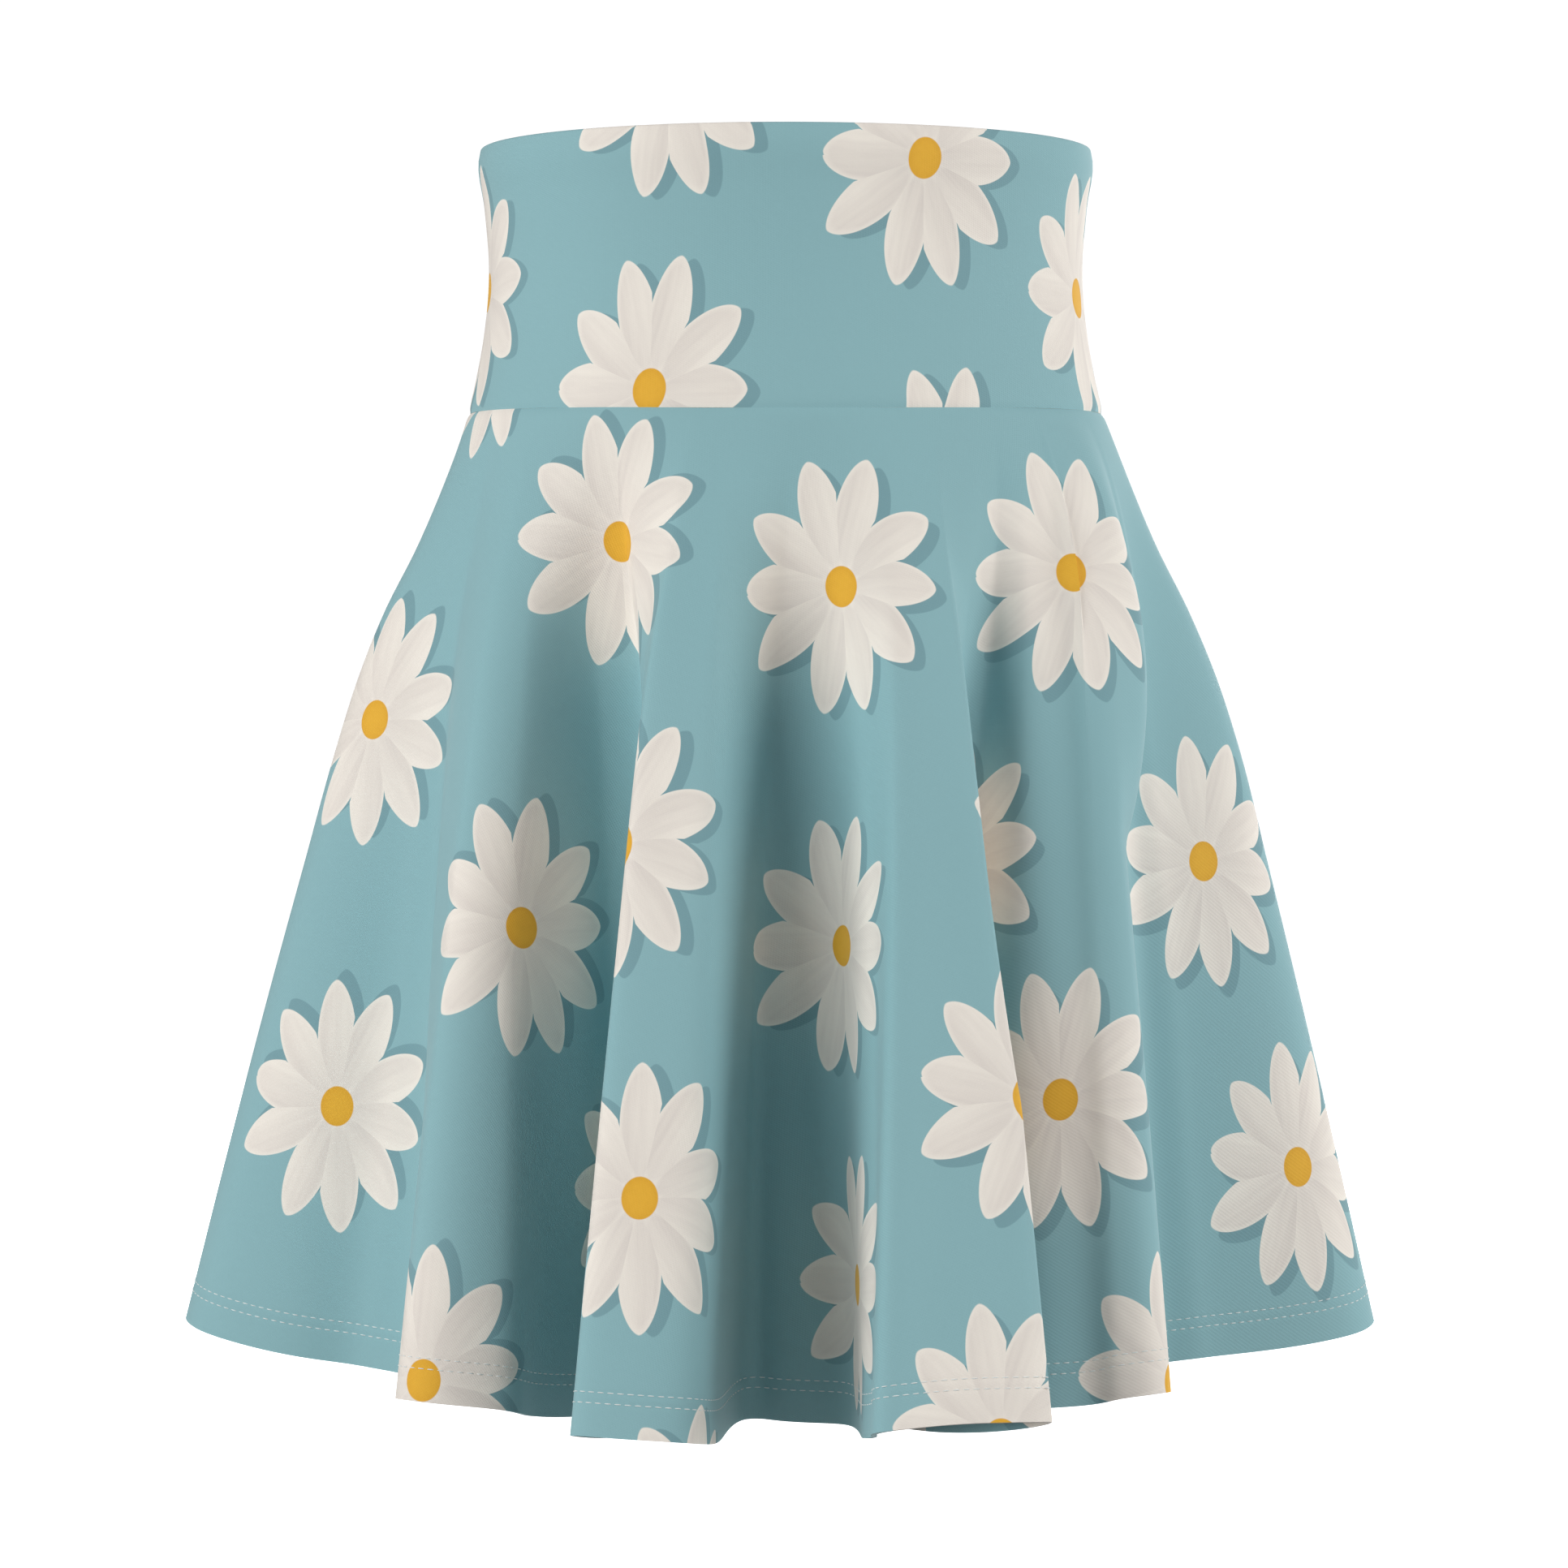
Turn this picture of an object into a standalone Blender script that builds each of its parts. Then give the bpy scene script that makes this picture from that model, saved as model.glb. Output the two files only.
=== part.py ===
# Circle skirt with a tall fitted waistband, hollow and filled out as if worn.
#
# +Z is up and the front faces -Y. The origin is in the middle of the waist, the
# narrowest level, where the wearer holds the skirt up. Lengths in the tables are
# in millimetres and angles in degrees; everything else is in metres.
#
# The skirt is a full circle in two half-circle panels. Its form is worked out in
# plan: straight threads of cloth run from the oval waist seam down to a folded
# hem line, which is a smooth closed curve through the crests and troughs of the
# folds. Each thread keeps its cut length, so it drops less where it runs out far.

from collections import namedtuple
from math import cos, pi, radians, sin

import bmesh
import bpy
import numpy as np

MM = 0.001

SKIRT_WALL = 1.2 * MM        # one layer of soft double knit
BAND_WALL = 2.0 * MM         # the waistband is folded double
SEAM_GAP = 0.3 * MM          # between neighbouring pieces

SEAM_HEIGHT = -60.0 * MM     # waist seam at the sides
SEAM_DROOP = 3.4 * MM        # how much lower it lies at centre front
PANEL_LENGTH = 411.0 * MM    # waist seam to hem, along the cloth

BAND_COLUMNS = 64            # all round
HEM_STEPS_PER_SPAN = 4       # columns between two points of the hem line
SEAM_CLEARANCE = 0.6         # degrees kept free of other columns beside a side seam
SKIRT_STEPS = 12             # seam to hem
SUBSTEPS = 6                 # within one step, for the drop of a thread
ROW_POWER = 1.25             # above 1 sets the rows closer together near the seam
CURVE_STEPS = 40             # along one span, for measuring its length
OVAL_STEPS = 1440            # round an oval, for the same
SHARP_ANGLE = 50.0           # degrees; the wall's edges are sharper than this

# Oval sections of the waistband.
Section = namedtuple("Section", "height half_width half_depth")
BAND = [
    Section(53.2, 131.0, 105.8),     # folded top edge
    Section(49.5, 131.8, 106.4),
    Section(28.0, 129.5, 103.6),
    Section(0.0, 127.6, 101.6),      # waist
    Section(-28.0, 130.0, 103.2),
    Section(-45.0, 133.1, 105.6),
    Section(-60.0, 136.5, 108.0),    # waist seam
]

# The hem in plan: each crest or trough is a short stretch of cloth, centred at
# x (to the right) and out (towards the front), reaching half to each side along
# its heading. The cloth there is longer than the panel by extra. Without its folds
# the hem would be an oval, and a fold grows later than the oval does: its share of
# the way is the spread's to the power of lag.
Fold = namedtuple("Fold", "name x out half heading extra lag")
FOLDS = [
    Fold("left side crest", -255.2, -3, 15, 80, 1, 1.15),
    Fold("left front trough", -168, 52, 13, 28, -2, 1.15),
    Fold("left front crest", -137, 156, 16, 0, 3, 1.15),
    Fold("left deep trough", -55, 84, 20, -8, 5, 1.05),
    Fold("left centre crest", -61, 193, 23, 3, 10, 1.0),
    Fold("centre trough", 5, 103, 22, 26, 6, 1.1),
    Fold("right centre crest", 70, 212, 34, -3, 9, 1.2),
    Fold("right hidden trough", 46, 150, 13, -62, 9, 1.3),
    Fold("right front fall", 103, 165, 20, 2, 2.5, 1.3),
    Fold("right front crest", 142, 168, 9, -6, 2, 1.25),
    Fold("right front trough", 165, 52, 14, -26, -7, 1.15),
    Fold("right side crest", 250.3, -3, 15, -80, 0, 1.15),
    Fold("right side trough", 174, -48, 13, -120, 2, 1.15),
    Fold("right back crest", 203, -119, 15, -125, 2, 1.15),
    Fold("right back trough", 106, -73, 14, -170, 3, 1.15),
    Fold("right rear crest", 120, -190, 20, -165, 2, 1.15),
    Fold("right rear trough", 46, -87, 13, -180, 3, 1.15),
    Fold("centre back crest", 13, -204, 26, -180, 2, 1.15),
    Fold("left rear trough", -46, -89, 13, -180, 3, 1.15),
    Fold("left rear crest", -112, -191, 20, -190, 2, 1.15),
    Fold("left back trough", -112, -77, 14, -185, 3, 1.15),
    Fold("left back crest", -201, -122, 15, -230, 2, 1.15),
    Fold("left side trough", -179, -45, 13, -240, 2, 1.15),
]
CENTRE_CREST = 4             # the left centre crest, whose place on the panel is known
CENTRE_CREST_ANGLE = -15.0   # degrees from centre front, in the cut circle

HEM_OVAL_HALF_WIDTH = 256.0 * MM
HEM_OVAL_HALF_DEPTH = 150.0 * MM

# How far the cloth has spread from the seam towards the hem line, as a share of
# the whole spread, on the left and on the right side of the body.
Spread = namedtuple("Spread", "down left right")
SPREAD = [
    Spread(0.000, 0.000, 0.000),
    Spread(0.040, 0.045, 0.050),
    Spread(0.080, 0.094, 0.101),
    Spread(0.150, 0.187, 0.196),
    Spread(0.225, 0.300, 0.313),
    Spread(0.300, 0.393, 0.414),
    Spread(0.380, 0.473, 0.500),
    Spread(0.500, 0.580, 0.602),
    Spread(0.650, 0.712, 0.726),
    Spread(0.800, 0.838, 0.846),
    Spread(1.000, 1.000, 1.000),
]

CLOTH_COLOUR = (0.262, 0.468, 0.503)
CLOTH_ROUGHNESS = 0.8


# ---------------------------------------------------------------- plan curves

def blend(a, b, ta, tb, t):
    return ((tb - t) * a + (t - ta) * b) / (tb - ta)


def span(points, i, steps):
    # Centripetal Catmull-Rom from point i to the next one, around a closed loop.
    p = [points[(i + k) % len(points)] for k in (-1, 0, 1, 2)]
    knots = [0.0]
    for k in range(3):
        knots.append(knots[-1] + np.linalg.norm((p[k + 1] - p[k])[:2]) ** 0.5)
    t0, t1, t2, t3 = knots
    t = np.linspace(t1, t2, steps, endpoint=False)[:, None]
    a = blend(p[0], p[1], t0, t1, t)
    b = blend(p[1], p[2], t1, t2, t)
    c = blend(p[2], p[3], t2, t3, t)
    return blend(blend(a, b, t0, t2, t), blend(b, c, t1, t3, t), t1, t2, t)


def hem_line():
    # Columns x, out, extra length, lag; one row per step, the first repeated last.
    points = []
    for fold in FOLDS:
        reach = np.array([cos(radians(fold.heading)), sin(radians(fold.heading)), 0.0, 0.0])
        middle = np.array([fold.x * MM, fold.out * MM, fold.extra * MM, fold.lag])
        points += [middle - reach * fold.half * MM, middle + reach * fold.half * MM]
    curve = np.vstack([span(points, i, CURVE_STEPS) for i in range(len(points))])
    return np.vstack([curve, curve[:1]])


def arc_lengths(curve):
    steps = np.linalg.norm(np.diff(curve[:, :2], axis=0), axis=1)
    return np.concatenate([[0.0], np.cumsum(steps)])


HEM = hem_line()
HEM_ARC = arc_lengths(HEM)
CREST_ARC = HEM_ARC[2 * CENTRE_CREST * CURVE_STEPS + CURVE_STEPS // 2]


def hem_angle(arc):
    # Angle in the cut circle, -180 to 180 with 0 at centre front.
    angle = (arc - CREST_ARC) / HEM_ARC[-1] * 360.0 + CENTRE_CREST_ANGLE
    return (angle + 180.0) % 360.0 - 180.0


def hem_at(angles):
    arc = (angles - CENTRE_CREST_ANGLE) / 360.0 * HEM_ARC[-1] + CREST_ARC
    arc = np.mod(arc, HEM_ARC[-1])
    return np.stack([np.interp(arc, HEM_ARC, HEM[:, k]) for k in range(4)], axis=-1)


def oval_at(angles, half_width, half_depth):
    # Points evenly spaced by cloth, not by direction, as the cut circle's are.
    turn = np.linspace(0.0, 2.0 * pi, OVAL_STEPS + 1)
    oval = np.stack([half_width * np.sin(turn), half_depth * np.cos(turn)], axis=-1)
    arc = arc_lengths(oval)
    place = np.mod(angles / 360.0, 1.0) * arc[-1]
    return np.stack([np.interp(place, arc, oval[:, k]) for k in range(2)], axis=-1)


def smooth_table(rows, column, x):
    # Cubic through a table whose first column is the position.
    at = np.array([row[0] for row in rows])
    value = np.array([getattr(row, column) for row in rows])
    slope = np.gradient(value, at)
    i = np.clip(np.searchsorted(at, x, side="right") - 1, 0, len(at) - 2)
    step = at[i + 1] - at[i]
    u = (x - at[i]) / step
    return ((2 * u**3 - 3 * u**2 + 1) * value[i] + (u**3 - 2 * u**2 + u) * step * slope[i]
            + (3 * u**2 - 2 * u**3) * value[i + 1] + (u**3 - u**2) * step * slope[i + 1])


# ------------------------------------------------------------------- surfaces

def seam_height(angles):
    front = np.clip(np.cos(np.radians(angles)), 0.0, 1.0)
    return SEAM_HEIGHT - SEAM_DROOP * front**2


def band_surface(angles):
    # One row for each section, from the folded top edge down to the waist seam.
    rows = []
    for section in BAND:
        plan = oval_at(angles, section.half_width * MM, section.half_depth * MM)
        height = section.height * MM
        below_waist = max(0.0, height / SEAM_HEIGHT)
        z = height + (seam_height(angles) - SEAM_HEIGHT) * below_waist
        rows.append(np.stack([plan[:, 0], -plan[:, 1], z], axis=-1))
    return np.array(rows)


def skirt_surface(angles):
    # Rows from the waist seam down to the hem.
    seam = oval_at(angles, BAND[-1].half_width * MM, BAND[-1].half_depth * MM)
    hem = hem_at(angles)
    length = PANEL_LENGTH + hem[:, 2]
    down = np.linspace(0.0, 1.0, SKIRT_STEPS * SUBSTEPS + 1) ** ROW_POWER
    right = (1.0 + np.sin(np.radians(angles))) / 2.0
    left_spread = smooth_table(SPREAD, "left", down)[:, None]
    right_spread = smooth_table(SPREAD, "right", down)[:, None]
    spread = left_spread * (1.0 - right) + right_spread * right
    flare = oval_at(angles, HEM_OVAL_HALF_WIDTH, HEM_OVAL_HALF_DEPTH) - seam
    folds = hem[:, :2] - seam - flare
    plan = seam + spread[:, :, None] * flare + (spread ** hem[:, 3])[:, :, None] * folds
    run = np.linalg.norm(np.diff(plan, axis=0), axis=-1)
    cloth = np.diff(down)[:, None] * length
    drop = np.sqrt(cloth**2 - run**2)
    z = seam_height(angles) - np.vstack([np.zeros(len(angles)), np.cumsum(drop, axis=0)])
    surface = np.stack([plan[:, :, 0], -plan[:, :, 1], z], axis=-1)
    return surface[::SUBSTEPS]


def inward_offset(surface, wall):
    # The rings are closed, so their first and last columns are neighbours.
    across = np.roll(surface, -1, axis=1) - np.roll(surface, 1, axis=1)
    downward = np.gradient(surface, axis=0)
    normal = np.cross(downward, across)
    normal[0, :, 2] = 0.0         # the edges at the rim, seam and hem stay level
    normal[-1, :, 2] = 0.0
    normal /= np.linalg.norm(normal, axis=-1, keepdims=True)
    return surface - normal * wall


# --------------------------------------------------------------------- pieces

def half_of(ring, angles, front):
    # The columns of one panel, drawn back from both side seams by half the gap.
    if front:
        order = np.nonzero(np.abs(angles) <= 90.0)[0]
    else:
        right = np.nonzero(angles >= 90.0)[0]
        left = np.nonzero(angles <= -90.0)[0]
        order = np.concatenate([right, left])
    panel = ring[:, order].copy()
    for edge, inside in ((0, 1), (-1, -2)):
        along = panel[:, inside] - panel[:, edge]
        along /= np.linalg.norm(along, axis=-1, keepdims=True)
        panel[:, edge] += along * SEAM_GAP / 2
    return panel


def cloth_material(name):
    material = bpy.data.materials.new(name)
    material.use_nodes = True
    shader = material.node_tree.nodes["Principled BSDF"]
    shader.inputs["Base Color"].default_value = (*CLOTH_COLOUR, 1.0)
    shader.inputs["Roughness"].default_value = CLOTH_ROUGHNESS
    shader.inputs["Metallic"].default_value = 0.0
    return material


def add_wall(name, outer, inner):
    # A wall of cloth between two grids of points, closed along its four edges.
    rows, columns = outer.shape[:2]
    mesh = bmesh.new()
    out = [[mesh.verts.new(p) for p in row] for row in outer]
    back = [[mesh.verts.new(p) for p in row] for row in inner]
    for i in range(rows - 1):
        for j in range(columns - 1):
            mesh.faces.new((out[i][j], out[i + 1][j], out[i + 1][j + 1], out[i][j + 1]))
            mesh.faces.new((back[i][j], back[i][j + 1], back[i + 1][j + 1], back[i + 1][j]))
    for j in range(columns - 1):
        mesh.faces.new((out[0][j], out[0][j + 1], back[0][j + 1], back[0][j]))
        mesh.faces.new((out[-1][j + 1], out[-1][j], back[-1][j], back[-1][j + 1]))
    for i in range(rows - 1):
        mesh.faces.new((out[i + 1][0], out[i][0], back[i][0], back[i + 1][0]))
        mesh.faces.new((out[i][-1], out[i + 1][-1], back[i + 1][-1], back[i][-1]))
    bmesh.ops.recalc_face_normals(mesh, faces=mesh.faces)
    data = bpy.data.meshes.new(name)
    mesh.to_mesh(data)
    mesh.free()
    data.shade_smooth()
    data.set_sharp_from_angle(angle=radians(SHARP_ANGLE))
    data.materials.append(cloth_material(name))
    piece = bpy.data.objects.new(name, data)
    bpy.context.collection.objects.link(piece)


def add_waistband():
    angles = np.linspace(-180.0, 180.0, BAND_COLUMNS, endpoint=False)
    outer = band_surface(angles)
    inner = inward_offset(outer, BAND_WALL)
    outer[-1, :, 2] += SEAM_GAP / 2
    inner[-1, :, 2] = outer[-1, :, 2]
    for name, front in (("waistband_front", True), ("waistband_back", False)):
        add_wall(name, half_of(outer, angles, front), half_of(inner, angles, front))


def skirt_columns():
    # Angles of the steps along the hem line, with the two side seams among them.
    step = CURVE_STEPS // HEM_STEPS_PER_SPAN
    angles = hem_angle(HEM_ARC[:-1:step])
    clear = np.abs(np.abs(angles) - 90.0) > SEAM_CLEARANCE
    return np.sort(np.concatenate([angles[clear], [-90.0, 90.0]]))


def add_skirt():
    angles = skirt_columns()
    outer = skirt_surface(angles)
    inner = inward_offset(outer, SKIRT_WALL)
    outer[0, :, 2] -= SEAM_GAP / 2
    inner[0, :, 2] = outer[0, :, 2]
    for name, front in (("skirt_front", True), ("skirt_back", False)):
        add_wall(name, half_of(outer, angles, front), half_of(inner, angles, front))


def main():
    for thing in list(bpy.data.objects):
        bpy.data.objects.remove(thing, do_unlink=True)
    add_waistband()
    add_skirt()


main()
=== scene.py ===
# Circle skirt with a tall waistband, as worn: printed double knit and a twin-needle hem.
import math

import bmesh
import bpy
import numpy as np
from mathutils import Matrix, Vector


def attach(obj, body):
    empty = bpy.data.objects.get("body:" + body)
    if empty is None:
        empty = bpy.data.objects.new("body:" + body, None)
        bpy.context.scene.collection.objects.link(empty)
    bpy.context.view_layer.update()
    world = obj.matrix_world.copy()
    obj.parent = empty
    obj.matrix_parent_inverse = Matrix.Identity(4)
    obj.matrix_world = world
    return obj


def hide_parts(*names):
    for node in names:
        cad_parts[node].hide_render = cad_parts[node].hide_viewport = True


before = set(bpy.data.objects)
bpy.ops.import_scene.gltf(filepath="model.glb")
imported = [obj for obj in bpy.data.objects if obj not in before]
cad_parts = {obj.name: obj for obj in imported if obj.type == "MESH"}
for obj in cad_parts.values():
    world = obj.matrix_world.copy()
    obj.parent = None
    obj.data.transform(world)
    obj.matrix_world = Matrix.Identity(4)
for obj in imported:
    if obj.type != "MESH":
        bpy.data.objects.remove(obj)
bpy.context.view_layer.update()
bpy.ops.object.select_all(action="DESELECT")
print("frame:", ", ".join(sorted(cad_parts)))

mm = 0.001
fullTurn = 2.0 * math.pi

# the form of the skirt, with the same sizes as its solids
form = {
    "seamHeight": -60.0 * mm,
    "seamDroop": 3.4 * mm,        # how much lower the waist seam lies at centre front
    "panelLength": 411.0 * mm,    # waist seam to hem, along the cloth
    "ovalHalfWidth": 256.0 * mm,  # the hem without its folds
    "ovalHalfDepth": 150.0 * mm,
    "skirtWall": 1.2 * mm,
    "hemWall": 2.1 * mm,          # where the hem is turned up
    "bandWall": 2.0 * mm,         # the waistband is folded double
    "stepsDown": 145,             # for hanging each column of cloth
    "stepsCrowding": 1.25,        # above 1 the steps stand closer together at the seam
    "stepsRound": 1441,           # for measuring round an oval
    "curveSteps": 40,             # for each span of the hem's curve
    "smoothBelow": 42.0,          # edges that bend by fewer degrees are shaded smooth
}

# waistband ovals in mm: height, half width, half depth
bandOvals = [
    (53.2, 131.0, 105.8), (49.5, 131.8, 106.4), (28.0, 129.5, 103.6), (0.0, 127.6, 101.6),
    (-28.0, 130.0, 103.2), (-45.0, 133.1, 105.6), (-60.0, 136.5, 108.0),
]

# hem folds in mm and degrees, from the left side seam round the front:
# x, out, half its flat stretch, heading, extra length of cloth, lag of its growth
hemFolds = [
    (-255.2, -3, 15, 80, 1, 1.15), (-168, 52, 13, 28, -2, 1.15), (-137, 156, 16, 0, 3, 1.15),
    (-55, 84, 20, -8, 5, 1.05), (-61, 193, 23, 3, 10, 1.0), (5, 103, 22, 26, 6, 1.1),
    (70, 212, 34, -3, 9, 1.2), (46, 150, 13, -62, 9, 1.3), (103, 165, 20, 2, 2.5, 1.3),
    (142, 168, 9, -6, 2, 1.25), (165, 52, 14, -26, -7, 1.15), (250.3, -3, 15, -80, 0, 1.15),
    (174, -48, 13, -120, 2, 1.15), (203, -119, 15, -125, 2, 1.15), (106, -73, 14, -170, 3, 1.15),
    (120, -190, 20, -165, 2, 1.15), (46, -87, 13, -180, 3, 1.15), (13, -204, 26, -180, 2, 1.15),
    (-46, -89, 13, -180, 3, 1.15), (-112, -191, 20, -190, 2, 1.15), (-112, -77, 14, -185, 3, 1.15),
    (-201, -122, 15, -230, 2, 1.15), (-179, -45, 13, -240, 2, 1.15),
]
centreCrest, centreCrestAngle = 4, -15.0

# share of the spread from the seam to the hem: down, on the left, on the right
spreadTable = [
    (0.0, 0.0, 0.0), (0.04, 0.045, 0.050), (0.08, 0.094, 0.101), (0.15, 0.187, 0.196),
    (0.225, 0.300, 0.313), (0.30, 0.393, 0.414), (0.38, 0.473, 0.500), (0.50, 0.580, 0.602),
    (0.65, 0.712, 0.726), (0.80, 0.838, 0.846), (1.0, 1.0, 1.0),
]


def blendPoints(a, b, ta, tb, t):
    return ((tb - t) * a + (t - ta) * b) / (tb - ta)


def curveSpan(points, i, steps):
    # one span of a smooth closed curve, between the points i and i + 1
    p = [points[(i + k) % len(points)] for k in (-1, 0, 1, 2)]
    knots = [0.0]
    for k in range(3):
        knots.append(knots[-1] + np.linalg.norm((p[k + 1] - p[k])[:2]) ** 0.5)
    t0, t1, t2, t3 = knots
    t = np.linspace(t1, t2, steps, endpoint=False)[:, None]
    a = blendPoints(p[0], p[1], t0, t1, t)
    b = blendPoints(p[1], p[2], t1, t2, t)
    c = blendPoints(p[2], p[3], t2, t3, t)
    return blendPoints(blendPoints(a, b, t0, t2, t), blendPoints(b, c, t1, t3, t), t1, t2, t)


def arcAlong(line, axes=2):
    steps = np.linalg.norm(np.diff(line[:, :axes], axis=0), axis=1)
    return np.concatenate([[0.0], np.cumsum(steps)])


def foldCurve():
    # the hem's closed line: x, how far out, extra length and lag
    points = []
    for x, out, half, heading, extra, lag in hemFolds:
        turn = math.radians(heading)
        reach = np.array([math.cos(turn) * half * mm, math.sin(turn) * half * mm, 0.0, 0.0])
        middle = np.array([x * mm, out * mm, extra * mm, lag])
        points += [middle - reach, middle + reach]
    steps = form["curveSteps"]
    curve = np.vstack([curveSpan(points, i, steps) for i in range(len(points))])
    return np.vstack([curve, curve[:1]])


hemCurve = foldCurve()
hemArc = arcAlong(hemCurve)
crestArc = hemArc[2 * centreCrest * form["curveSteps"] + form["curveSteps"] // 2]


def hemAt(angles):
    arc = np.mod((angles - centreCrestAngle) / 360.0 * hemArc[-1] + crestArc, hemArc[-1])
    return np.stack([np.interp(arc, hemArc, hemCurve[:, k]) for k in range(4)], axis=-1)


def ovalAt(angles, halfWidth, halfDepth):
    # equal angles of the cut are equal lengths along the oval
    turn = np.linspace(0.0, fullTurn, form["stepsRound"])
    oval = np.stack([halfWidth * np.sin(turn), halfDepth * np.cos(turn)], axis=-1)
    arc = arcAlong(oval)
    place = np.mod(angles / 360.0, 1.0) * arc[-1]
    return np.stack([np.interp(place, arc, oval[:, k]) for k in range(2)], axis=-1)


def tableCurve(rows, column, x):
    # a smooth curve through one column of a table, over its first column
    at = np.array([row[0] for row in rows])
    value = np.array([row[column] for row in rows])
    slope = np.gradient(value, at)
    i = np.clip(np.searchsorted(at, x, side="right") - 1, 0, len(at) - 2)
    step = at[i + 1] - at[i]
    u = (x - at[i]) / step
    return ((2 * u**3 - 3 * u**2 + 1) * value[i] + (u**3 - 2 * u**2 + u) * step * slope[i]
            + (3 * u**2 - 2 * u**3) * value[i + 1] + (u**3 - u**2) * step * slope[i + 1])


def seamLine(angles):
    front = np.clip(np.cos(np.radians(angles)), 0.0, 1.0)
    return form["seamHeight"] - form["seamDroop"] * front**2


def skirtSurface(angles, below):
    # points at these distances below the waist seam, along the cloth, as rows by columns
    lowest = bandOvals[-1]
    seam = ovalAt(angles, lowest[1] * mm, lowest[2] * mm)
    hem = hemAt(angles)
    length = form["panelLength"] + hem[:, 2]
    down = np.linspace(0.0, 1.0, form["stepsDown"]) ** form["stepsCrowding"]
    right = (1.0 + np.sin(np.radians(angles))) / 2.0
    spread = (tableCurve(spreadTable, 1, down)[:, None] * (1.0 - right)
              + tableCurve(spreadTable, 2, down)[:, None] * right)
    flare = ovalAt(angles, form["ovalHalfWidth"], form["ovalHalfDepth"]) - seam
    folds = hem[:, :2] - seam - flare
    plan = seam + spread[:, :, None] * flare + (spread ** hem[:, 3])[:, :, None] * folds
    # the cloth drops by what its length leaves over from its run
    run = np.linalg.norm(np.diff(plan, axis=0), axis=-1)
    drop = np.sqrt((np.diff(down)[:, None] * length) ** 2 - run**2)
    z = seamLine(angles) - np.vstack([np.zeros(len(angles)), np.cumsum(drop, axis=0)])
    fine = np.stack([plan[:, :, 0], -plan[:, :, 1], z], axis=-1)
    rows = np.empty((below.shape[0], len(angles), 3))
    for j in range(len(angles)):
        share = below[:, j] / length[j]
        for k in range(3):
            rows[:, j, k] = np.interp(share, down, fine[:, j, k])
    return rows


def bandSurface(angles, heights):
    # rows of points round the waistband at these heights in metres
    ovals = [tuple(value * mm for value in row) for row in reversed(bandOvals)]
    rows = []
    for height in heights:
        halfWidth, halfDepth = (tableCurve(ovals, k, np.array([height]))[0] for k in (1, 2))
        plan = ovalAt(angles, halfWidth, halfDepth)
        belowWaist = max(0.0, height / form["seamHeight"])
        z = height + (seamLine(angles) - form["seamHeight"]) * belowWaist
        rows.append(np.stack([plan[:, 0], -plan[:, 1], z], axis=-1))
    return np.array(rows)


def outwardNormals(grid):
    across = np.gradient(grid, axis=1)
    along = np.gradient(grid, axis=0)
    normal = np.cross(along, across)
    normal /= np.linalg.norm(normal, axis=-1, keepdims=True)
    middle = grid.reshape(-1, 3).mean(axis=0) * [0, 1, 0]
    if ((grid - middle) * normal).sum() < 0:
        normal = -normal
    return normal


def rowArcs(grid, angles, start):
    # distance along each row of the grid, from the column at the angle start
    steps = np.linalg.norm(np.diff(grid, axis=1), axis=-1)
    arc = np.concatenate([np.zeros((len(grid), 1)), np.cumsum(steps, axis=1)], axis=1)
    return arc - np.array([np.interp(start, angles, row) for row in arc])[:, None]


def halfAngles(look, front):
    # cut angles over one half of the skirt, closer together beside both side seams
    near = np.array(look["besideSeam"])
    inner = np.linspace(-look["innerEdge"], look["innerEdge"], look["columns"])
    angles = np.concatenate([-90.0 + near, inner, (90.0 - near)[::-1]])
    return angles if front else angles + 180.0


def wrapAngles(angles):
    return (angles + 180.0) % 360.0 - 180.0


# how the cloth rolls in where it is sewn
sewn = {
    "roll": 0.9 * mm,
    "reach": 1.7 * mm,
    "sideShare": 0.7,             # of the roll, at the side seams
    "softness": 1.3,
    "rows": (0.0, 0.5, 1.2, 2.2, 3.6, 6.0),  # mm from the waist seam
}


def nearSeam(distance, depth):
    return depth * np.exp(-((np.abs(distance) / sewn["reach"]) ** sewn["softness"]))


def seamRoll(fromSeam, arcs):
    fromSide = np.minimum(arcs - arcs[:, :1], arcs[:, -1:] - arcs)
    roll = (nearSeam(fromSeam, sewn["roll"])
            + nearSeam(fromSide, sewn["sideShare"] * sewn["roll"]))
    return np.minimum(roll, sewn["roll"])[:, :, None]


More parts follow.
